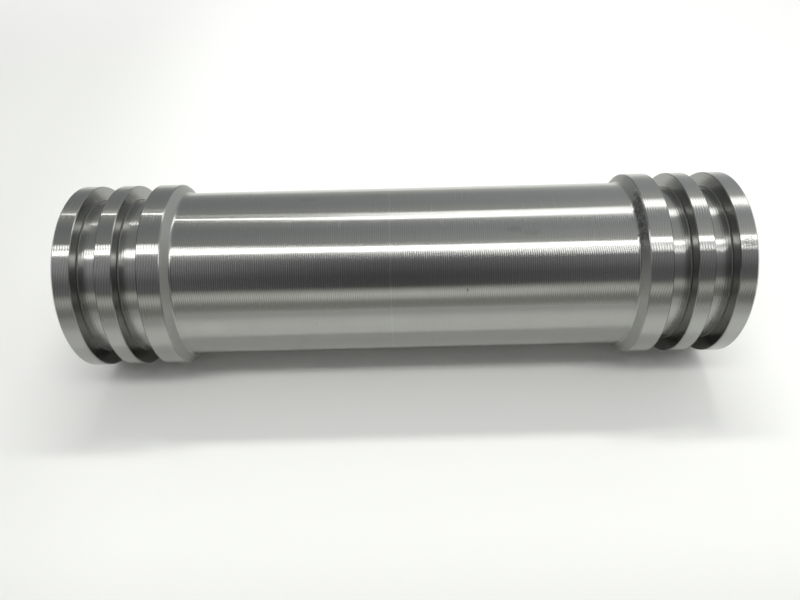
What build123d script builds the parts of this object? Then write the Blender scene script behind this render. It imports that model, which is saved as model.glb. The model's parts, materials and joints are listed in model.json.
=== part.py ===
from build123d import *

import os

# Turned steel bar: a plain barrel between two ends that are grooved for seal rings.
#
# Each end has three lands of one diameter, an end land, a middle land and a collar,
# parted by two square grooves. The collar's inner side tapers down to the barrel and
# runs into it through a root fillet.
# The bar stands on its lower end face: the origin is that face's centre, and +Z runs
# up the turning axis. Lengths are in millimetres.

# Across the axis: the lands, and how deep the barrel and the grooves lie under them
land_diameter = 40.0
collar_height = 1.9
groove_depth = 3.1

# Lengths along the axis, from an end face inwards. The barrel's is measured from one
# collar's rim to the other's, and so holds the run of both tapered sides.
end_land_length = 3.8
groove_width = 4.8
middle_land_length = 3.4
collar_length = 4.65
collar_side_run = 1.45
barrel_length = 97.1

# Corners
collar_root_radius = 0.6
groove_root_radius = 0.25
end_chamfer = 0.4
land_edge_break = 0.15

# Radii and places that follow
land_radius = land_diameter / 2
barrel_radius = land_radius - collar_height
groove_radius = land_radius - groove_depth
grooved_end_length = end_land_length + 2 * groove_width + middle_land_length + collar_length
overall_length = 2 * grooved_end_length + barrel_length

# The largest share of a wall that its root fillet may take
wall_share = 0.9

# How near two points of the section lie when they are the same one
same_place = 1e-4


def lower_steps():
    """Corners of the lower end's section as (radius, height), from the axis out and up."""
    outer_groove_floor = end_land_length
    middle_land_floor = outer_groove_floor + groove_width
    inner_groove_floor = middle_land_floor + middle_land_length
    collar_floor = inner_groove_floor + groove_width
    return [
        (0, 0),
        (land_radius, 0),
        (land_radius, outer_groove_floor),
        (groove_radius, outer_groove_floor),
        (groove_radius, middle_land_floor),
        (land_radius, middle_land_floor),
        (land_radius, inner_groove_floor),
        (groove_radius, inner_groove_floor),
        (groove_radius, collar_floor),
        (land_radius, collar_floor),
        (land_radius, grooved_end_length),
        (barrel_radius, grooved_end_length + collar_side_run),
    ]


def upper_steps():
    """The lower end's corners mirrored about the middle, from the barrel up to the axis."""
    return [(radius, overall_length - height) for radius, height in reversed(lower_steps())]


def corners_at(section, radius):
    """The section's corners at one radius, from the lowest to the highest."""
    corners = [corner for corner in section.vertices() if abs(corner.X - radius) < same_place]
    return sorted(corners, key=lambda corner: corner.Y)


def root_fillet(radius, wall_height):
    """A root's radius, kept within the straight part of its wall."""
    return min(radius, wall_share * (wall_height - land_edge_break))


def turned_section():
    """Half section of the bar, radius along X and height along Y, with its corners worked."""
    section = make_face(Polyline(*lower_steps(), *upper_steps(), close=True))
    collar_root = root_fillet(collar_root_radius, collar_height)
    section = fillet(corners_at(section, barrel_radius), collar_root)
    groove_root = root_fillet(groove_root_radius, groove_depth)
    section = fillet(corners_at(section, groove_radius), groove_root)
    land_edges = corners_at(section, land_radius)[1:-1]
    section = chamfer(land_edges, land_edge_break)
    lowest, *_, highest = corners_at(section, land_radius)
    return chamfer([lowest, highest], end_chamfer)


def turned_bar():
    """The whole bar, its section turned once round the axis."""
    return revolve(Plane.XZ * turned_section(), axis=Axis.Z)


os.makedirs("parts", exist_ok=True)
export_step(turned_bar(), "parts/turned_bar.step")
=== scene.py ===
import json
import math

import bmesh
import bpy
from bpy.props import FloatProperty, FloatVectorProperty, IntProperty, PointerProperty
import mathutils
from mathutils import Matrix, Vector


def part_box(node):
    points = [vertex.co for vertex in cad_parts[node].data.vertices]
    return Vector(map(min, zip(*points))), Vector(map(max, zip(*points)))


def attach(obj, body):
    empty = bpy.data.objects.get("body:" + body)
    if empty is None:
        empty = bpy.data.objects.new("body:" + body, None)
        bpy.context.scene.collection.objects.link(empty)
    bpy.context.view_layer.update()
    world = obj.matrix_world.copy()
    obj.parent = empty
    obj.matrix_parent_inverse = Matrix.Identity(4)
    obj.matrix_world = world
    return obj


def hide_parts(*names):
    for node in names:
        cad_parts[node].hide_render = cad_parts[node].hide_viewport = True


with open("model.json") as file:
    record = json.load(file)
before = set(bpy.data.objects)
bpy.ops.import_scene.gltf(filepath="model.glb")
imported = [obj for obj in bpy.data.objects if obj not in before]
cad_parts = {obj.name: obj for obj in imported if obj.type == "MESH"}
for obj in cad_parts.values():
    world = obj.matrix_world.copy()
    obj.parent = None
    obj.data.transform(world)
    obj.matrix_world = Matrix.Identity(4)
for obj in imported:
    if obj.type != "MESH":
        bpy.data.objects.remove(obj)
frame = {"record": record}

bl_info = {
    "name": "Turned bar",
    "version": (1, 0, 0),
    "blender": (4, 5, 0),
    "location": "3D View > Sidebar > Turned bar",
    "description": "Builds a bright turned steel bar with ring grooves and its studio",
    "category": "Object",
}

NODE = "turned_bar"
BODY = "root"
MM = 0.001

LOW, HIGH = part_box(NODE)
LENGTH = HIGH[2] - LOW[2]
LAND_RADIUS = (HIGH[0] - LOW[0]) / 2
MOUNTS = {mount["name"]: mount for mount in frame["record"]["mounts"]}

# Heights nearer than SAME are one height, and points nearer than MERGE become one point
SAME = 0.001 * MM
MERGE = 0.0001 * MM


def groove(name):
    """(middle height, width, floor radius) of a ring groove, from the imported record's mounts."""
    mount = MOUNTS[name]
    return mount["pos_m"][2], mount["dims"]["length_mm"] * MM, mount["dims"]["r_mm"] * MM


# ---------------------------------------------------------------- sizes and colours


class BarSizes(bpy.types.PropertyGroup):
    """Sizes of the turned form that the frame doesn't give."""

    collar_height: FloatProperty(
        name="Collar height", description="How far the collar stands over the barrel",
        default=1.9 * MM, unit="LENGTH", precision=5)
    collar_length: FloatProperty(
        name="Collar length", description="Length of the collar between its groove and the barrel",
        default=4.65 * MM, unit="LENGTH", precision=5)
    collar_side: FloatProperty(
        name="Collar side run", description="How far along the bar the collar's tapered side runs",
        default=1.45 * MM, unit="LENGTH", precision=5)
    collar_root: FloatProperty(
        name="Collar root radius", description="Radius from the collar's side into the barrel",
        default=0.6 * MM, unit="LENGTH", precision=5)
    groove_root: FloatProperty(
        name="Groove root radius", description="Radius from a groove's wall into its floor",
        default=0.25 * MM, unit="LENGTH", precision=5)
    end_chamfer: FloatProperty(
        name="End chamfer", description="Chamfer round both end faces",
        default=0.4 * MM, unit="LENGTH", precision=5)
    edge_break: FloatProperty(
        name="Edge break", description="Small chamfer on the edges of the lands",
        default=0.15 * MM, unit="LENGTH", precision=5)
    support: FloatProperty(
        name="Support", description="How near a ring of points follows each root",
        default=0.04 * MM, unit="LENGTH", precision=5)
    around: IntProperty(name="Around", description="Faces round the bar", default=512, min=16)
    torn_turn: FloatProperty(
        name="Torn turn", description="Middle of the torn metal at the upper collar, round the bar",
        default=math.radians(-75.5), subtype="ANGLE")
    torn_reach: FloatProperty(
        name="Torn reach", description="How far the torn metal reaches round the bar from its middle",
        default=math.radians(21.5), subtype="ANGLE")
    torn_depth: FloatProperty(
        name="Torn depth", description="How far the torn metal is pushed in or out",
        default=0.06 * MM, unit="LENGTH", precision=5)


class FinishValues(bpy.types.PropertyGroup):
    """Colours and marks of the turned steel."""

    steel: FloatVectorProperty(
        name="Steel", description="Colour of the bright steel",
        subtype="COLOR", size=3, min=0, max=1, default=(0.352, 0.354, 0.34))
    torn_steel: FloatVectorProperty(
        name="Torn steel", description="Colour of the torn metal",
        subtype="COLOR", size=3, min=0, max=1, default=(0.21, 0.21, 0.205))
    barrel_roughness: FloatProperty(
        name="Barrel roughness", description="Roughness of the barrel",
        default=0.15, min=0, max=1, subtype="FACTOR")
    land_roughness: FloatProperty(
        name="Land roughness", description="Roughness of the lands",
        default=0.15, min=0, max=1, subtype="FACTOR")
    groove_roughness: FloatProperty(
        name="Groove roughness", description="Roughness of the groove floors",
        default=0.2, min=0, max=1, subtype="FACTOR")
    groove_root_roughness: FloatProperty(
        name="Groove root roughness", description="Roughness of the groove roots",
        default=0.5, min=0, max=1, subtype="FACTOR")
    side_roughness: FloatProperty(
        name="Side roughness", description="Roughness of the walls and end faces",
        default=0.24, min=0, max=1, subtype="FACTOR")
    collar_roughness: FloatProperty(
        name="Collar roughness", description="Roughness of the collars' tapered sides",
        default=0.45, min=0, max=1, subtype="FACTOR")
    root_roughness: FloatProperty(
        name="Root roughness", description="Roughness of the collars' roots",
        default=0.22, min=0, max=1, subtype="FACTOR")
    torn_roughness: FloatProperty(
        name="Torn roughness", description="Roughness of the torn metal",
        default=0.5, min=0, max=1, subtype="FACTOR")
    barrel_pitch: FloatProperty(
        name="Barrel pitch", description="Distance between the tool's marks along the barrel",
        default=0.44 * MM, unit="LENGTH", precision=5)
    land_pitch: FloatProperty(
        name="Land pitch", description="Distance between the tool's marks on the lands",
        default=0.54 * MM, unit="LENGTH", precision=5)
    witness_height: FloatProperty(
        name="Witness height", description="Where the tool was changed, along the barrel",
        default=67.1 * MM, unit="LENGTH", precision=5)


class StudioValues(bpy.types.PropertyGroup):
    """The camera and the lean of the pale floor."""

    camera_azimuth: FloatProperty(
        name="Camera azimuth", description="Direction of the camera round the bar",
        default=math.radians(45), subtype="ANGLE")
    camera_distance: FloatProperty(
        name="Camera distance", description="Camera to the turning axis",
        default=0.14948, unit="LENGTH", precision=5)
    camera_height: FloatProperty(
        name="Camera height", description="Height of the camera along the turning axis",
        default=0.06886, unit="LENGTH", precision=5)
    camera_tilt: FloatProperty(
        name="Camera tilt", description="Tilt of the camera across the bar",
        default=math.radians(-2.71), subtype="ANGLE")
    camera_roll: FloatProperty(
        name="Camera roll", description="Roll of the camera about its own axis",
        default=math.radians(-1.40), subtype="ANGLE")
    lens: FloatProperty(
        name="Lens", description="Focal length on a 36 mm sensor",
        default=29.56, unit="CAMERA")
    floor_lean: FloatProperty(
        name="Floor lean", description="Angle between the camera's direction and the floor's normal",
        default=math.radians(45), subtype="ANGLE")


# ---------------------------------------------------------------- node helpers


class Wires:
    """Adds nodes to a node tree. What a node takes is a fixed value or another node's socket."""

    def __init__(self, tree):
        self.nodes = tree.nodes
        self.links = tree.links

    def add(self, kind, **settings):
        """A new node with its settings."""
        node = self.nodes.new(kind)
        for name, value in settings.items():
            setattr(node, name, value)
        return node

    def join(self, value, socket):
        """Give an input what it takes."""
        if isinstance(value, bpy.types.NodeSocket):
            self.links.new(value, socket)
        else:
            socket.default_value = value

    def math(self, operation, *values):
        """The number that a math node gives."""
        node = self.add("ShaderNodeMath", operation=operation)
        for value, socket in zip(values, node.inputs):
            self.join(value, socket)
        return node.outputs[0]

    def vector(self, operation, *values):
        """The vector that a vector math node gives, or the number for a length or a dot product."""
        node = self.add("ShaderNodeVectorMath", operation=operation)
        for value, socket in zip(values, node.inputs):
            self.join(value, socket)
        return node.outputs["Value" if operation in ("LENGTH", "DOT_PRODUCT") else "Vector"]

    def scaled(self, vector, factor):
        """A vector times a number."""
        node = self.add("ShaderNodeVectorMath", operation="SCALE")
        self.join(vector, node.inputs[0])
        self.join(factor, node.inputs["Scale"])
        return node.outputs["Vector"]

    def mix(self, share, low, high, kind="FLOAT"):
        """A number between low and high by share, or a vector where kind says so."""
        node = self.add("ShaderNodeMix", data_type=kind)
        for label, value in (("Factor", share), ("A", low), ("B", high)):
            self.join(value, node.inputs[label])
        return node.outputs["Result"]

    def eased(self, value, start, end, low=0.0, high=1.0):
        """A soft step of a number, from low at start to high at end."""
        node = self.add("ShaderNodeMapRange", interpolation_type="SMOOTHSTEP")
        self.join(value, node.inputs["Value"])
        for label, limit in (("From Min", start), ("From Max", end), ("To Min", low), ("To Max", high)):
            self.join(limit, node.inputs[label])
        return node.outputs["Result"]

    def noise(self, place, per_metre, detail):
        """Noise at a place, from 0 to 1, with so many swings in a metre."""
        node = self.add("ShaderNodeTexNoise")
        for label, value in (("Vector", place), ("Scale", per_metre), ("Detail", detail)):
            self.join(value, node.inputs[label])
        return node.outputs["Fac"]

    def object_place(self):
        """The place on the bar that is being shaded."""
        return self.add("ShaderNodeTexCoord").outputs["Object"]

    def group(self, name, values):
        """A node group, placed with its own values."""
        node = self.add("ShaderNodeGroup", node_tree=bpy.data.node_groups[name])
        for label, value in values.items():
            self.join(value, node.inputs[label])
        return node


def new_group(name, inputs, outputs):
    """An empty shader node group with named sockets, and its input and output nodes."""
    tree = bpy.data.node_groups.new(name, "ShaderNodeTree")
    for label, kind, value in inputs:
        socket = tree.interface.new_socket(label, in_out="INPUT", socket_type=kind)
        socket.default_value = value
    for label, kind in outputs:
        tree.interface.new_socket(label, in_out="OUTPUT", socket_type=kind)
    return tree, tree.nodes.new("NodeGroupInput"), tree.nodes.new("NodeGroupOutput")


# ---------------------------------------------------------------- marks in the steel


# Feed marks: the power that sharpens their crests, the noise steps from furrow to furrow, and
# the noise and the strengths of the patches where the crests are faint or strong
CREST_POWER = 3.0
STREAK_STEP = 0.61
PATCHES_PER_METRE = 180.0
PATCH_STRENGTHS = (0.45, 1.25)


def feed_marks_group():
    """Marks of the turning tool: rows of shallow furrows across the feed.

    Gives the furrows' normal, their crests from 0 to 1, and uneven streaks from 0 to 1.
    """
    tree, given, result = new_group(
        "Feed marks",
        [
            ("Pitch", "NodeSocketFloat", 0.4 * MM),
            ("Slope", "NodeSocketFloat", 0.2),
            ("Roll", "NodeSocketFloat", 0.0),
            ("Starts", "NodeSocketFloat", 1.0),
            ("Unevenness", "NodeSocketFloat", 0.3),
            ("Across", "NodeSocketFloat", 0.0),
        ],
        [("Normal", "NodeSocketVector"), ("Crest", "NodeSocketFloat"), ("Streak", "NodeSocketFloat")],
    )
    wires = Wires(tree)
    place = wires.add("ShaderNodeTexCoord")
    split = wires.add("ShaderNodeSeparateXYZ")
    wires.join(place.outputs["Object"], split.inputs[0])
    radial = wires.vector("MULTIPLY", place.outputs["Object"], (1, 1, 0))
    outward = wires.vector("NORMALIZE", radial)
    sideways = wires.vector("CROSS_PRODUCT", outward, (0, 0, 1))
    along = wires.mix(given.outputs["Across"], split.outputs["Z"], wires.vector("LENGTH", radial))
    feed = wires.mix(given.outputs["Across"], (0, 0, 1), outward, kind="VECTOR")
    turns = wires.math("DIVIDE", wires.math("ARCTAN2", split.outputs["Y"], split.outputs["X"]), math.tau)
    steps = wires.math("DIVIDE", along, given.outputs["Pitch"])
    phase = wires.math("MULTIPLY_ADD", turns, given.outputs["Starts"], steps)
    saw = wires.math("MULTIPLY_ADD", wires.math("FRACT", phase), 2.0, -1.0)
    streak = wires.add("ShaderNodeTexNoise", noise_dimensions="1D")
    wires.join(wires.math("MULTIPLY", phase, STREAK_STEP), streak.inputs["W"])
    swing = wires.math("MULTIPLY_ADD", streak.outputs["Fac"], 4.0, -2.0)
    uneven = wires.math("MULTIPLY_ADD", swing, given.outputs["Unevenness"], 1.0)
    slope = wires.math("MULTIPLY", wires.math("MULTIPLY", saw, uneven), given.outputs["Slope"])
    patch = wires.noise(place.outputs["Object"], PATCHES_PER_METRE, 1.0)
    patch = wires.eased(patch, 0.25, 0.75, *PATCH_STRENGTHS)
    peak = wires.math("POWER", wires.math("ABSOLUTE", saw), CREST_POWER)
    crest = wires.math("MULTIPLY", wires.math("MULTIPLY", peak, uneven), patch)
    roll = wires.math("MULTIPLY", crest, given.outputs["Roll"])
    leaned = wires.vector("ADD", place.outputs["Normal"], wires.scaled(feed, slope))
    rolled = wires.vector("ADD", leaned, wires.scaled(sideways, roll))
    turned = wires.add("ShaderNodeVectorTransform", vector_type="NORMAL",
                       convert_from="OBJECT", convert_to="WORLD")
    wires.join(rolled, turned.inputs[0])
    wires.join(wires.vector("NORMALIZE", turned.outputs[0]), result.inputs["Normal"])
    wires.join(crest, result.inputs["Crest"])
    wires.join(streak.outputs["Fac"], result.inputs["Streak"])


# A spot's noise at its ragged rim, and the share of its half size that is its full core
RIM_SWINGS_PER_METRE = 1500.0
SPOT_CORE = 0.55


def spot_group():
    """A soft-edged spot with a ragged rim. Gives its share, from 0 outside to 1 in its core."""
    tree, given, result = new_group(
        "Spot",
        [
            ("Centre", "NodeSocketVector", (0, 0, 0)),
            ("Half Size", "NodeSocketVector", (MM, MM, MM)),
            ("Raggedness", "NodeSocketFloat", 0.5),
        ],
        [("Share", "NodeSocketFloat")],
    )
    wires = Wires(tree)
    place = wires.object_place()
    offset = wires.vector("SUBTRACT", place, given.outputs["Centre"])
    reach = wires.vector("LENGTH", wires.vector("DIVIDE", offset, given.outputs["Half Size"]))
    swing = wires.math("MULTIPLY_ADD", wires.noise(place, RIM_SWINGS_PER_METRE, 2.0), 2.0, -1.0)
    reach = wires.math("MULTIPLY_ADD", swing, given.outputs["Raggedness"], reach)
    wires.join(wires.eased(reach, 1.0, SPOT_CORE), result.inputs["Share"])


def spot(material, height, turn, radius, along, around, raggedness):
    """A spot's share over a material, by its middle's height, turn and radius and its half sizes."""
    values = {
        "Centre": (radius * math.cos(turn), radius * math.sin(turn), height),
        "Half Size": (around, around, along),
        "Raggedness": raggedness,
    }
    return Wires(material.node_tree).group("Spot", values).outputs["Share"]


def ring(material, height, width):
    """The share over a material of a narrow soft-edged ring round the bar."""
    wires = Wires(material.node_tree)
    rise = wires.vector("DOT_PRODUCT", wires.object_place(), (0, 0, 1))
    away = wires.math("ABSOLUTE", wires.math("SUBTRACT", rise, height))
    return wires.eased(away, width / 2, width / 5)


def lay_on(material, share, tone, roughness):
    """Lay a mark over a material: by its share, it multiplies the colour and replaces the roughness."""
    wires = Wires(material.node_tree)
    surface = wires.nodes["Principled BSDF"]
    colour = surface.inputs["Base Color"].links[0].from_socket
    wires.join(wires.scaled(colour, wires.mix(share, 1.0, tone)), surface.inputs["Base Color"])
    before = surface.inputs["Roughness"].links[0].from_socket
    wires.join(wires.mix(share, before, roughness), surface.inputs["Roughness"])


# ---------------------------------------------------------------- finishes


# The shine's quarter turn from the tangent round the bar, which lets it spread along the bar
SHINE_TURN = 0.25


def new_metal(name):
    """A plain metal material, the helper that adds its nodes, and its surface."""
    material = bpy.data.materials.new(name)
    material.use_nodes = True
    wires = Wires(material.node_tree)
    surface = wires.nodes["Principled BSDF"]
    surface.inputs["Metallic"].default_value = 1.0
    return material, wires, surface


def steel_material(name, roughness, marks, stretch=0.0, streak_tone=0.10,
                   crest_shade=0.0, crest_roughness=0.0, strength=1.0):
    """Turned steel with its own roughness and values of the feed marks.

    stretch is how far the shine spreads along the bar. The marks' streaks change the tone by
    streak_tone; their crests are darker by crest_shade, as painted shade of the furrows, and rougher
    by crest_roughness; and strength scales the steel's colour, which below 1 is painted shade.
    """
    material, wires, surface = new_metal(name)
    surface.inputs["Anisotropic"].default_value = stretch
    surface.inputs["Anisotropic Rotation"].default_value = SHINE_TURN
    tangent = wires.add("ShaderNodeTangent", direction_type="RADIAL", axis="Z")
    wires.join(tangent.outputs[0], surface.inputs["Tangent"])
    feed = wires.group("Feed marks", marks)
    wires.join(feed.outputs["Normal"], surface.inputs["Normal"])
    crest = feed.outputs["Crest"]
    wires.join(wires.math("MULTIPLY_ADD", crest, crest_roughness, roughness), surface.inputs["Roughness"])
    streaks = wires.math("MULTIPLY_ADD", feed.outputs["Streak"], streak_tone, 1.0 - streak_tone / 2)
    # Painted shade: the feed marks' crests are darkened, and the furrows between them a little lightened
    crests = wires.math("MULTIPLY_ADD", crest, -crest_shade, 1.0 + crest_shade / 3)
    steel = Vector(bpy.context.scene.bar_finish.steel) * strength
    wires.join(wires.scaled(steel, wires.math("MULTIPLY", streaks, crests)), surface.inputs["Base Color"])
    return material


# Marks of handling on the barrel: height mm, turn degrees, half length and half width mm, tone, roughness
HANDLING_MARKS = (
    (92.4, -69.5, 2.2, 1.0, 0.90, 0.20),
    (95.6, -66.8, 2.6, 0.8, 0.93, 0.20),
    (75.1, -62.0, 0.12, 0.7, 0.65, 0.35),
    (74.1, 11.8, 1.3, 0.25, 1.10, 0.22),
    (82.5, -30.5, 0.18, 0.45, 0.75, 0.40),
    (51.5, -8.1, 0.2, 0.8, 0.90, 0.25),
    (50.0, -101.3, 2.4, 1.0, 0.94, 0.17),
    (64.8, -104.9, 2.6, 1.2, 0.95, 0.16),
    (30.2, -6.8, 3.2, 2.4, 1.05, 0.16),
    (114.0, -28.0, 0.25, 0.3, 1.45, 0.30),
)
MARK_RAGGEDNESS = 0.5
WITNESS_WIDTH = 0.22 * MM


def barrel_material(sizes, finish):
    """The barrel: fine feed marks, a witness ring, and the small marks of handling."""
    marks = {"Pitch": finish.barrel_pitch, "Slope": 0.12, "Roll": 0.01, "Unevenness": 0.3}
    # The barrel's crests are darkened as painted shade of the feed marks
    steel = steel_material("Barrel", finish.barrel_roughness, marks, stretch=1.0, streak_tone=0.08,
                           crest_shade=0.10, crest_roughness=0.10)
    lay_on(steel, ring(steel, finish.witness_height, WITNESS_WIDTH), tone=1.12, roughness=0.2)
    radius = LAND_RADIUS - sizes.collar_height
    for height, turn, along, around, tone, roughness in HANDLING_MARKS:
        share = spot(steel, height * MM, math.radians(turn), radius, along * MM, around * MM,
                     raggedness=MARK_RAGGEDNESS)
        lay_on(steel, share, tone, roughness)
    return steel


# The scuffed patch on the upper end land, by its place and half sizes, and the noise of its scratches
SCUFF = {"height": 138.2 * MM, "turn": math.radians(-56), "along": 1.9 * MM, "around": 1.4 * MM}
SCRATCHES_PER_METRE = 2600.0


def land_material(finish):
    """The lands: coarser marks that lean round the bar, and a scuffed patch on the upper end land."""
    marks = {"Pitch": finish.land_pitch, "Slope": 0.07, "Roll": 0.012, "Starts": 24.0, "Unevenness": 0.4}
    # The lands' crests are darkened as painted shade of the feed marks
    steel = steel_material("Lands", finish.land_roughness, marks, stretch=1.0,
                           crest_shade=0.06, crest_roughness=0.10)
    wires = Wires(steel.node_tree)
    scuff = spot(steel, radius=LAND_RADIUS, raggedness=MARK_RAGGEDNESS, **SCUFF)
    scratches = wires.eased(wires.noise(wires.object_place(), SCRATCHES_PER_METRE, 3.0), 0.45, 0.6)
    lay_on(steel, wires.math("MULTIPLY", scuff, scratches), tone=0.78, roughness=0.36)
    return steel


# The torn metal's grain, as noise, tones and depth, and how much paler and how ragged its ends are
GRAINS_PER_METRE = 1400.0
GRAIN_TONES = (0.66, 1.34)
GRAIN_DEPTH = 0.012 * MM
TORN_END_TONE = 1.9
TORN_RAGGEDNESS = 0.15


def torn_material(sizes, finish):
    """Dark torn metal at the root of the upper collar, paler towards its ends."""
    material, wires, surface = new_metal("Torn metal")
    surface.inputs["Roughness"].default_value = finish.torn_roughness
    grain = wires.noise(wires.object_place(), GRAINS_PER_METRE, 3.0)
    low, high = torn_heights(sizes)
    half_size = LAND_RADIUS * 2 * math.sin(sizes.torn_reach / 2)
    middle = spot(material, (low + high) / 2, sizes.torn_turn, LAND_RADIUS, half_size, half_size,
                  raggedness=TORN_RAGGEDNESS)
    tone = wires.math("MULTIPLY", wires.eased(grain, 0.32, 0.68, *GRAIN_TONES),
                      wires.mix(middle, TORN_END_TONE, 1.0))
    wires.join(wires.scaled(finish.torn_steel, tone), surface.inputs["Base Color"])
    bump = wires.add("ShaderNodeBump")
    bump.inputs["Strength"].default_value = 1.0
    bump.inputs["Distance"].default_value = GRAIN_DEPTH
    wires.join(grain, bump.inputs["Height"])
    wires.join(bump.outputs["Normal"], surface.inputs["Normal"])
    return material


def zone_materials(sizes, finish):
    """The finishes of the bar's zones, in the zones' order."""
    fine = {"Pitch": finish.land_pitch, "Slope": 0.05, "Unevenness": 0.3}
    facing = {**fine, "Across": 1.0}
    return (
        barrel_material(sizes, finish),
        land_material(finish),
        steel_material("Groove floors", finish.groove_roughness, fine, stretch=0.8),
        # The groove walls and the lands' edge breaks: their steel is darkened to 0.8 as painted shade
        steel_material("Walls", finish.side_roughness, facing, stretch=0.3, strength=0.8),
        steel_material("End faces", finish.side_roughness, facing, stretch=0.3),
        steel_material("Collar sides", finish.collar_roughness, fine),
        steel_material("Collar roots", finish.root_roughness, fine, stretch=0.5, streak_tone=0.05),
        torn_material(sizes, finish),
        # The groove roots: their steel is darkened to 0.55 as painted shade, which dims the lamps'
        # reflection in the roots
        steel_material("Groove roots", finish.groove_root_roughness, fine, streak_tone=0.05, strength=0.55),
    )


# ---------------------------------------------------------------- the turned form


# The bar's zones, in the order of its materials
BARREL, LANDS, GROOVE_FLOORS, WALLS, END_FACES, COLLAR_SIDES, COLLAR_ROOTS, TORN, GROOVE_ROOTS = range(9)

# A face is square to the axis, or only slanted, where its normal's share along the axis is over these
SQUARE = 0.99
SLANTED = 0.04

# A face this far under a land's edge breaks still counts as on the land
LAND_SLACK = 0.01 * MM

# An edge where the surface turns by more than this is sharp
SHARP = math.radians(20)

# Faces across each rounded root
ROOT_SEGMENTS = 8

# The torn metal: how far it spreads over the barrel, and how finely its stretch is cut
TORN_OVERLAP = 0.25 * MM
TORN_GRAIN = 0.18 * MM

# Its outline's and its chips' noises, as swings in a millimetre and strength, and the way that its
# chips are pushed, out of the bar and up
OUTLINE_NOISES = ((1.1, 1.0), (2.7, 0.6))
CHIP_NOISES = ((1.3, 1.0), (3.5, 0.4))
CHIP_WAY = (0.8, -0.6)

# Its border towards the barrel, as a share of its height: its least, the strength and power by which
# it climbs before and after its middle, and how ragged the border and the ends round the bar are
BORDER_LEAST = 0.1
BORDER_BEFORE = (0.6, 1.5)
BORDER_AFTER = (0.25, 2.0)
BORDER_RAGGEDNESS = 0.26
REACH_RAGGEDNESS = 0.12


def groove_corners(name, sizes):
    """The four corners of a ring groove, from its lower edge up."""
    middle, width, floor = groove(name)
    low, high = middle - width / 2, middle + width / 2
    return [
        (LAND_RADIUS, low, "cut", sizes.edge_break),
        (floor, low, "round", sizes.groove_root),
        (floor, high, "round", sizes.groove_root),
        (LAND_RADIUS, high, "cut", sizes.edge_break),
    ]


def collar_edges(sizes):
    """Heights where the collars' lands end and their tapered sides begin: (lower, upper)."""
    middle, width, floor = groove("lower_inner_ring_groove")
    lower = middle + width / 2 + sizes.collar_length
    return lower, LOW[2] + HIGH[2] - lower


def root_reach(sizes):
    """How far the collar's root reaches from its corner, along the barrel and up the tapered side."""
    turned = math.atan2(sizes.collar_height, sizes.collar_side)
    return sizes.collar_root * math.tan(turned / 2)


def section_corners(sizes):
    """Half section of the bar as (radius, height, corner kind, corner size), from the lower pole up."""
    land, barrel = LAND_RADIUS, LAND_RADIUS - sizes.collar_height
    root = root_reach(sizes)
    lower, upper = collar_edges(sizes)
    return [
        (0.0, LOW[2], None, 0),
        (land, LOW[2], "cut", sizes.end_chamfer),
        *groove_corners("lower_outer_ring_groove", sizes),
        *groove_corners("lower_inner_ring_groove", sizes),
        (land, lower, "cut", sizes.edge_break),
        (barrel, lower + sizes.collar_side, "round", root),
        (barrel, upper - sizes.collar_side, "round", root),
        (land, upper, "cut", sizes.edge_break),
        *groove_corners("upper_inner_ring_groove", sizes),
        *groove_corners("upper_outer_ring_groove", sizes),
        (land, HIGH[2], "cut", sizes.end_chamfer),
        (0.0, HIGH[2], None, 0),
    ]


def supported(corners, support):
    """The corners with a point just outside each rounded one, on both of its sides."""
    points = []
    for i, (radius, height, kind, size) in enumerate(corners):
        here = Vector((radius, height))
        if kind == "round":
            before = Vector(corners[i - 1][:2])
            points.append((here + (before - here).normalized() * (size + support), None, 0))
        points.append((here, kind, size))
        if kind == "round":
            after = Vector(corners[i + 1][:2])
            points.append((here + (after - here).normalized() * (size + support), None, 0))
    return points


def lathe(sizes):
    """The bar's mesh: its half section, worked at the corners and spun round the axis."""
    form = bmesh.new()
    line = supported(section_corners(sizes), sizes.support)
    points = [form.verts.new((place.x, 0.0, place.y)) for place, kind, size in line]
    for one, other in zip(points, points[1:]):
        form.edges.new((one, other))
    for worked, segments in (("cut", 1), ("round", ROOT_SEGMENTS)):
        for width in sorted({size for place, kind, size in line if kind == worked}):
            chosen = [point for point, (place, kind, size) in zip(points, line)
                      if kind == worked and size == width]
            bmesh.ops.bevel(form, geom=chosen, offset=width, offset_type="ABSOLUTE", segments=segments,
                            profile=0.5, affect="VERTICES", material=-1)
    refine_torn_stretch(form, sizes)
    bmesh.ops.spin(form, geom=form.verts[:] + form.edges[:], cent=(0, 0, 0), axis=(0, 0, 1),
                   angle=math.tau, steps=sizes.around, use_merge=True)
    bmesh.ops.remove_doubles(form, verts=form.verts, dist=MERGE)
    bmesh.ops.recalc_face_normals(form, faces=form.faces)
    for face in form.faces:
        face.smooth = True
    for edge in form.edges:
        edge.smooth = edge.calc_face_angle(0.0) <= SHARP
    return form


def torn_heights(sizes):
    """Heights between which metal is torn at the upper collar: (root's end on the barrel, land's edge)."""
    lower, upper = collar_edges(sizes)
    return upper - sizes.collar_side - root_reach(sizes), upper


def refine_torn_stretch(form, sizes):
    """Cut the half section finely where metal is torn."""
    low, high = torn_heights(sizes)
    low -= TORN_OVERLAP
    for edge in form.edges[:]:
        one, other = edge.verts
        if min(one.co.z, other.co.z) < low < max(one.co.z, other.co.z):
            bmesh.utils.edge_split(edge, one, (low - one.co.z) / (other.co.z - one.co.z))
    for edge in form.edges[:]:
        heights = [end.co.z for end in edge.verts]
        inside = min(heights) > low - SAME and max(heights) < high + SAME
        cuts = int(edge.calc_length() / TORN_GRAIN)
        if inside and cuts > 1:
            bmesh.ops.subdivide_edges(form, edges=[edge], cuts=cuts)


def noise_at(place, noises):
    """Smooth noise at a place on the bar, added up from noises as swings in a millimetre and strength."""
    return sum(strength * mathutils.noise.noise(place / MM * swings) for swings, strength in noises)


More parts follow.
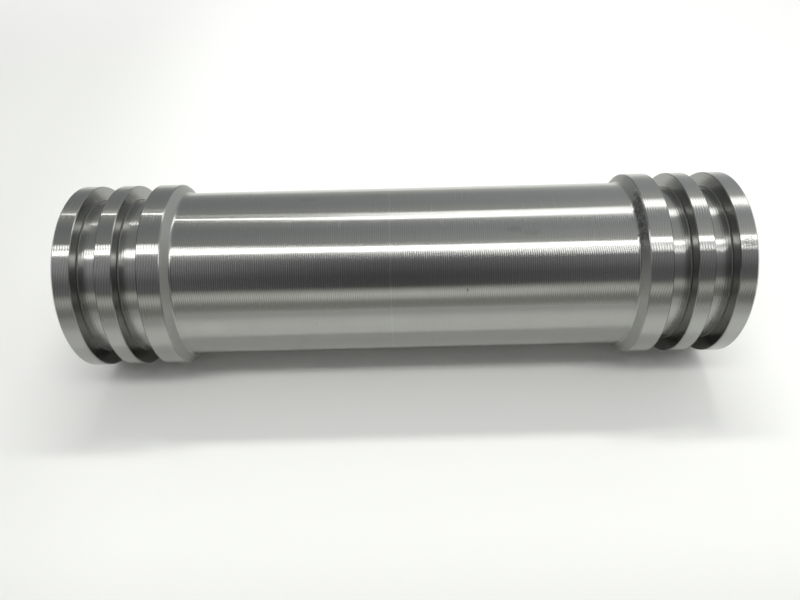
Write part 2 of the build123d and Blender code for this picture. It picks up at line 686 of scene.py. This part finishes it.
def is_torn(place, low, high, sizes):
    """Whether metal between two heights is torn at a place: within reach and over a ragged border."""
    if not low - TORN_OVERLAP - SAME < place.z < high + SAME:
        return False
    if place.xy.length > LAND_RADIUS - sizes.edge_break:
        return False
    off = (math.atan2(place.y, place.x) - sizes.torn_turn) / sizes.torn_reach
    share = (place.z - low) / (high - low)
    ragged = noise_at(place, OUTLINE_NOISES)
    strength, power = BORDER_BEFORE if off < 0 else BORDER_AFTER
    border = strength * abs(off) ** power + BORDER_LEAST
    return abs(off) < 1.0 + REACH_RAGGEDNESS * ragged and share > border + BORDER_RAGGEDNESS * ragged


def tear(form, sizes):
    """Push the torn metal at the upper collar in and out, and give its faces the torn finish."""
    low, high = torn_heights(sizes)
    torn = {vert for vert in form.verts if is_torn(vert.co, low, high, sizes)}
    out, up = CHIP_WAY
    for vert in torn:
        outward = Vector((vert.co.x, vert.co.y, 0)).normalized()
        chips = noise_at(vert.co, CHIP_NOISES)
        vert.co += (outward * out + Vector((0, 0, up))) * chips * sizes.torn_depth
    for face in form.faces:
        if sum(vert in torn for vert in face.verts) > 2:
            face.material_index = TORN


def paint_zones(form, sizes):
    """Give each face the zone that its finish is for, by how far it is from the bar's middle and axis."""
    middle = (LOW[2] + HIGH[2]) / 2
    end = middle - LOW[2] - sizes.end_chamfer
    collar_edge = middle - collar_edges(sizes)[0]
    reach = root_reach(sizes)
    root = collar_edge - sizes.collar_side
    side_start = root + reach * sizes.collar_side / math.hypot(sizes.collar_side, sizes.collar_height)
    for face in form.faces:
        centre = face.calc_center_median()
        radius = centre.xy.length
        away = abs(centre.z - middle)
        slant = abs(face.normal.z)
        on_land = radius > LAND_RADIUS - sizes.edge_break - LAND_SLACK
        on_rim = radius > LAND_RADIUS - 2 * sizes.edge_break
        if away < root - reach:
            face.material_index = BARREL
        elif away < side_start:
            face.material_index = COLLAR_ROOTS
        elif away < collar_edge:
            face.material_index = COLLAR_SIDES
        elif away > end:
            face.material_index = END_FACES
        elif slant > SQUARE or on_rim and slant > SLANTED:
            face.material_index = WALLS
        elif slant > SLANTED:
            face.material_index = GROOVE_ROOTS
        elif on_land:
            face.material_index = LANDS
        else:
            face.material_index = GROOVE_FLOORS


class BAR_OT_turned_bar(bpy.types.Operator):
    """Spin the bar's half section and give each zone its own turned finish"""

    bl_idname = "bar.turned_bar"
    bl_label = "Turned bar"

    def execute(self, context):
        sizes, finish = context.scene.bar_sizes, context.scene.bar_finish
        form = lathe(sizes)
        paint_zones(form, sizes)
        tear(form, sizes)
        mesh = bpy.data.meshes.new("turned_bar_skin")
        form.to_mesh(mesh)
        form.free()
        bar = bpy.data.objects.new("turned_bar_skin", mesh)
        context.collection.objects.link(bar)
        feed_marks_group()
        spot_group()
        for material in zone_materials(sizes, finish):
            mesh.materials.append(material)
        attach(bar, BODY)
        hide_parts(NODE)
        return {"FINISHED"}


# ---------------------------------------------------------------- studio


# The floor is a square sheet, a little clear of the lands, and its grey has a faint tint
FLOOR_HALF_SIZE = 1.5
FLOOR_GAP = 0.02 * MM
FLOOR_TINT = (("Red", 0.995), ("Green", 1.0), ("Blue", 0.97))

# The room round the bar: brightness by the angle from the camera's direction, in degrees
ROOM_TONES = (
    (-180, 0.73), (-58, 0.64), (-55.5, 0.42), (-53, 0.38), (-46, 0.42), (-44, 0.52),
    (-40.5, 0.84), (-37, 0.97), (-34, 0.93), (-31, 0.68), (-28, 0.40), (-25.5, 0.11),
    (-23.5, 0.06), (-2, 0.06), (9, 0.12), (14, 0.20), (18, 0.50), (33, 0.60),
    (36, 0.53), (50, 0.45), (59, 0.43), (63, 0.46), (68, 0.52), (83, 0.58),
    (87, 0.57), (92, 0.53), (100, 0.46), (126, 0.43), (134, 0.52), (142, 0.64),
    (152, 0.80), (180, 0.73),
)
ROOM_GAIN = 1.08

# How far the room's tones bend towards the ends of the bar, how they fade there below the camera
# and grow there above it, and the tone from which they are warm
ROOM_BEND = math.radians(12.5)
LOWER_FADE = 1.5
LOWER_LEAST = 0.5
UPPER_GROWTH = 0.6
WARM_FROM = 0.45

# The glow where the room is dark: its colour, its least and its greatest brightness, and how it
# grows towards the upper end
GLOW_COLOUR = (1.02, 1.0, 1.05)
GLOW_LEAST = 0.072
GLOW_MOST = 0.75
GLOW_RISE = 0.36

# The lamps: angle from the camera's direction, width and turn in degrees, and the rest in metres
LAMPS = (
    {"name": "near_tube", "angle": 28.5, "width": 5.3, "length": 1.9, "radiance": 4.5,
     "turn": -1.0, "shines": False},
    {"name": "near_slant", "angle": 26.5, "width": 4.2, "length": 1.3, "radiance": 4.3,
     "turn": -18.5, "shines": False},
    {"name": "far_gleam", "angle": 78.0, "width": 12.0, "length": 1.3, "radiance": 2.6,
     "offset": 0.56, "shines": False},
    {"name": "far_tube", "angle": 78.4, "width": 1.0, "length": 0.62, "radiance": 9.5,
     "offset": -0.25, "turn": -16.0, "shines": False},
    {"name": "far_line", "angle": 85.5, "width": 0.8, "length": 0.5, "radiance": 2.2,
     "offset": -0.3, "shines": False},
    {"name": "near_lamp", "angle": 28.5, "width": 8.0, "length": 1.2, "radiance": 7.5, "gleams": False},
    {"name": "far_lamp", "angle": 72.0, "width": 4.0, "length": 0.23, "radiance": 35.0,
     "offset": 0.025, "distance": 0.41, "gleams": False},
)


def across_axes(studio):
    """Unit vectors across the bar: towards the camera, and up in its view."""
    azimuth = studio.camera_azimuth
    to_camera = Vector((math.sin(azimuth), -math.cos(azimuth), 0.0))
    view_up = Vector((-math.cos(azimuth), -math.sin(azimuth), 0.0))
    return to_camera, view_up


def add_camera(studio):
    """A camera beside the standing bar, turned so that the bar lies across its view."""
    to_camera, view_up = across_axes(studio)
    data = bpy.data.cameras.new("camera")
    data.lens = studio.lens
    data.sensor_width = 36.0
    data.clip_start = 0.01
    data.clip_end = 50.0
    camera = bpy.data.objects.new("camera", data)
    bpy.context.collection.objects.link(camera)
    facing = Matrix((Vector((0, 0, 1)), view_up, to_camera)).transposed()
    tilt = Matrix.Rotation(studio.camera_tilt, 3, "X")
    roll = Matrix.Rotation(studio.camera_roll, 3, "Z")
    place = to_camera * studio.camera_distance + Vector((0, 0, studio.camera_height))
    camera.matrix_world = Matrix.Translation(place) @ (facing @ tilt @ roll).to_4x4()
    bpy.context.scene.camera = camera


def add_floor(studio):
    """The pale floor: a sheet that the lands touch, shown from its lit side and faded near and far."""
    to_camera, view_up = across_axes(studio)
    lean = studio.floor_lean
    normal = to_camera * math.cos(lean) + view_up * math.sin(lean)
    down = to_camera * math.sin(lean) - view_up * math.cos(lean)
    form = bmesh.new()
    bmesh.ops.create_grid(form, x_segments=1, y_segments=1, size=FLOOR_HALF_SIZE)
    turn = normal.to_track_quat("Z", "Y").to_matrix().to_4x4()
    place = Matrix.Translation(-normal * (LAND_RADIUS + FLOOR_GAP) + Vector((0, 0, LENGTH / 2)))
    bmesh.ops.transform(form, matrix=place @ turn, verts=form.verts)
    mesh = bpy.data.meshes.new("floor")
    form.to_mesh(mesh)
    form.free()
    floor = bpy.data.objects.new("floor", mesh)
    bpy.context.collection.objects.link(floor)
    mesh.materials.append(floor_material(down))


def floor_material(down):
    """Pale paint with painted shade: greyer beyond the bar's lower end, where the lamps' light falls off,
    and a painted shadow towards the camera. It is clear at its edges.
    """
    material = bpy.data.materials.new("Pale floor")
    material.use_nodes = True
    wires = Wires(material.node_tree)
    paint = wires.nodes["Principled BSDF"]
    paint.inputs["Roughness"].default_value = 0.6
    paint.inputs["Specular IOR Level"].default_value = 0.2
    place = wires.object_place()
    rise = wires.vector("DOT_PRODUCT", place, (0, 0, 1))
    nearer = wires.vector("DOT_PRODUCT", place, down)
    farther = wires.vector("DOT_PRODUCT", place, -down)
    # Painted shade: the floor greys beyond the bar's lower end, and a painted shadow darkens it towards the
    # camera
    shaded_grey = wires.math("MULTIPLY", wires.eased(rise, start=-0.05, end=0.02, low=0.82, high=0.96),
                      wires.eased(nearer, start=0.05, end=0.10, low=1.0, high=0.7))
    colour = wires.add("ShaderNodeCombineColor")
    for channel, tint in FLOOR_TINT:
        wires.join(wires.math("MULTIPLY", shaded_grey, tint), colour.inputs[channel])
    wires.join(colour.outputs[0], paint.inputs["Base Color"])
    near_edge = wires.eased(nearer, start=0.13, end=0.18)
    far_edge = wires.eased(farther, start=0.12, end=0.30)
    behind = wires.add("ShaderNodeNewGeometry").outputs["Backfacing"]
    share = wires.math("MAXIMUM", wires.math("MAXIMUM", near_edge, far_edge), behind)
    clear = wires.add("ShaderNodeBsdfTransparent")
    blend_shaders(wires, share, paint, clear, wires.nodes["Material Output"])
    return material


def blend_shaders(wires, share, one, other, output):
    """Show one shader, and the other by share."""
    mix = wires.add("ShaderNodeMixShader")
    for value, socket in zip((share, one.outputs[0], other.outputs[0]), mix.inputs):
        wires.join(value, socket)
    wires.join(mix.outputs[0], output.inputs["Surface"])


def room_tint(degrees, tone):
    """Red and blue of the room's light as shares of its green: above the camera, bright parts are warm."""
    if degrees < 0:
        return 0.99, 0.94
    warmth = max(0.0, tone - WARM_FROM)
    return 0.965 + 0.2 * warmth, 1.02 - 0.5 * warmth


def over_angle(wires, angle, start, end, low=0.0, high=1.0):
    """A soft step between two angles round the bar, in degrees."""
    return wires.eased(angle, math.radians(start), math.radians(end), low, high)


def room_tones(wires, angle, rise):
    """The room's colour by the angle round the bar and the rise along it."""
    bent = wires.math("MULTIPLY_ADD", wires.math("ABSOLUTE", rise), -ROOM_BEND, angle)
    ramp = wires.add("ShaderNodeValToRGB")
    wires.join(wires.math("MULTIPLY_ADD", bent, 1 / math.tau, 0.5), ramp.inputs[0])
    stops = ramp.color_ramp.elements
    while len(stops) < len(ROOM_TONES):
        stops.new(0.5)
    for stop, (degrees, tone) in zip(stops, ROOM_TONES):
        red, blue = room_tint(degrees, tone)
        light = tone * ROOM_GAIN
        stop.position = degrees / 360 + 0.5
        stop.color = (light * red, light, light * blue, 1.0)
    fade = wires.math("MULTIPLY_ADD", wires.math("MULTIPLY", rise, rise), -LOWER_FADE, 1.0)
    lower_gain = wires.math("MAXIMUM", fade, LOWER_LEAST)
    upper_gain = wires.math("MULTIPLY_ADD", rise, UPPER_GROWTH, 1.0)
    above = over_angle(wires, angle, start=-22, end=-2)
    return wires.scaled(ramp.outputs[0], wires.mix(above, lower_gain, upper_gain))


def room_glow(wires, angle, rise):
    """The glow in the dark part of the room: it grows along the bar, but fades near the bar's axis."""
    upper_spread = wires.math("MAXIMUM", wires.math("MULTIPLY", rise, GLOW_RISE), 0.0)
    lower_spread = wires.math("MULTIPLY", rise, rise)
    spread = wires.mix(wires.math("LESS_THAN", rise, 0.0), upper_spread, lower_spread)
    growth = over_angle(wires, angle, start=-12, end=16, low=0.95, high=2.75)
    fading = over_angle(wires, angle, start=24, end=34, low=1.0, high=0.0)
    ends = wires.eased(wires.math("ABSOLUTE", rise), start=0.56, end=0.72, low=1.0, high=0.0)
    reach = wires.math("MULTIPLY", wires.math("MULTIPLY", spread, growth), fading)
    reach = wires.math("MULTIPLY", reach, ends)
    glow = wires.math("MINIMUM", wires.math("ADD", reach, GLOW_LEAST), GLOW_MOST)
    return wires.scaled(GLOW_COLOUR, glow)


def add_room(studio):
    """The world: the soft tones of a room, and plain white behind the bar."""
    to_camera, view_up = across_axes(studio)
    world = bpy.data.worlds.new("room")
    bpy.context.scene.world = world
    world.use_nodes = True
    wires = Wires(world.node_tree)
    room = wires.nodes["Background"]
    place = wires.add("ShaderNodeTexCoord").outputs["Generated"]
    rise = wires.vector("DOT_PRODUCT", place, (0, 0, 1))
    angle = wires.math("ARCTAN2", wires.vector("DOT_PRODUCT", place, view_up),
                       wires.vector("DOT_PRODUCT", place, to_camera))
    lit = wires.vector("MAXIMUM", room_tones(wires, angle, rise), room_glow(wires, angle, rise))
    wires.join(lit, room.inputs["Color"])
    white = wires.add("ShaderNodeBackground")
    white.inputs["Color"].default_value = (1, 1, 1, 1)
    seen = wires.add("ShaderNodeLightPath").outputs["Is Camera Ray"]
    blend_shaders(wires, seen, room, white, wires.nodes["World Output"])


def add_lamp(studio, name, angle, width, length, radiance, turn=0.0, offset=0.0, distance=1.0,
             gleams=True, shines=True):
    """A lamp that faces the bar, at an angle from the camera's direction and offset along the bar.

    It gleams in the steel, shines on the floor, or both.
    """
    to_camera, view_up = across_axes(studio)
    angle = math.radians(angle)
    across = to_camera * math.cos(angle) + view_up * math.sin(angle)
    data = bpy.data.lights.new(name, "AREA")
    data.shape = "RECTANGLE"
    data.size = 2 * distance * math.tan(math.radians(width) / 2)
    data.size_y = length
    data.energy = radiance * math.pi * data.size * data.size_y
    lamp = bpy.data.objects.new(name, data)
    bpy.context.collection.objects.link(lamp)
    lamp.visible_camera = False
    lamp.visible_glossy = gleams
    lamp.visible_diffuse = shines
    upright = Vector((0, 0, 1))
    sideways = upright.cross(across)
    facing = Matrix((sideways, across.cross(sideways), across)).transposed()
    place = Matrix.Translation(across * distance + upright * (LENGTH / 2 + offset))
    lamp.matrix_world = place @ facing.to_4x4() @ Matrix.Rotation(math.radians(turn), 4, "Z")


class BAR_OT_studio(bpy.types.Operator):
    """Set up the pale floor, the room, the lamps and the camera"""

    bl_idname = "bar.studio"
    bl_label = "Studio"

    def execute(self, context):
        studio = context.scene.bar_studio
        add_floor(studio)
        add_room(studio)
        for lamp in LAMPS:
            add_lamp(studio, **lamp)
        add_camera(studio)
        context.scene.view_settings.view_transform = "Standard"
        return {"FINISHED"}


# ---------------------------------------------------------------- panel and registration


SETTINGS = {"bar_sizes": BarSizes, "bar_finish": FinishValues, "bar_studio": StudioValues}
OPERATORS = (BAR_OT_turned_bar, BAR_OT_studio)


class BAR_PT_panel(bpy.types.Panel):
    """Lists the bar's operators"""

    bl_idname = "BAR_PT_panel"
    bl_label = "Turned bar"
    bl_space_type = "VIEW_3D"
    bl_region_type = "UI"
    bl_category = "Turned bar"

    def draw(self, context):
        for operator in OPERATORS:
            self.layout.operator(operator.bl_idname)


def register():
    """Register the values, the operators and the panel."""
    for group in SETTINGS.values():
        bpy.utils.register_class(group)
    for name, group in SETTINGS.items():
        setattr(bpy.types.Scene, name, PointerProperty(type=group))
    for kind in (*OPERATORS, BAR_PT_panel):
        bpy.utils.register_class(kind)


def unregister():
    """Take back what register did."""
    for kind in (BAR_PT_panel, *reversed(OPERATORS)):
        bpy.utils.unregister_class(kind)
    for name, group in SETTINGS.items():
        delattr(bpy.types.Scene, name)
        bpy.utils.unregister_class(group)


def main():
    """Build the dressed bar and its studio."""
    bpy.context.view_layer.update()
    register()
    bpy.ops.bar.turned_bar()
    bpy.ops.bar.studio()


if __name__ == "__main__":
    main()
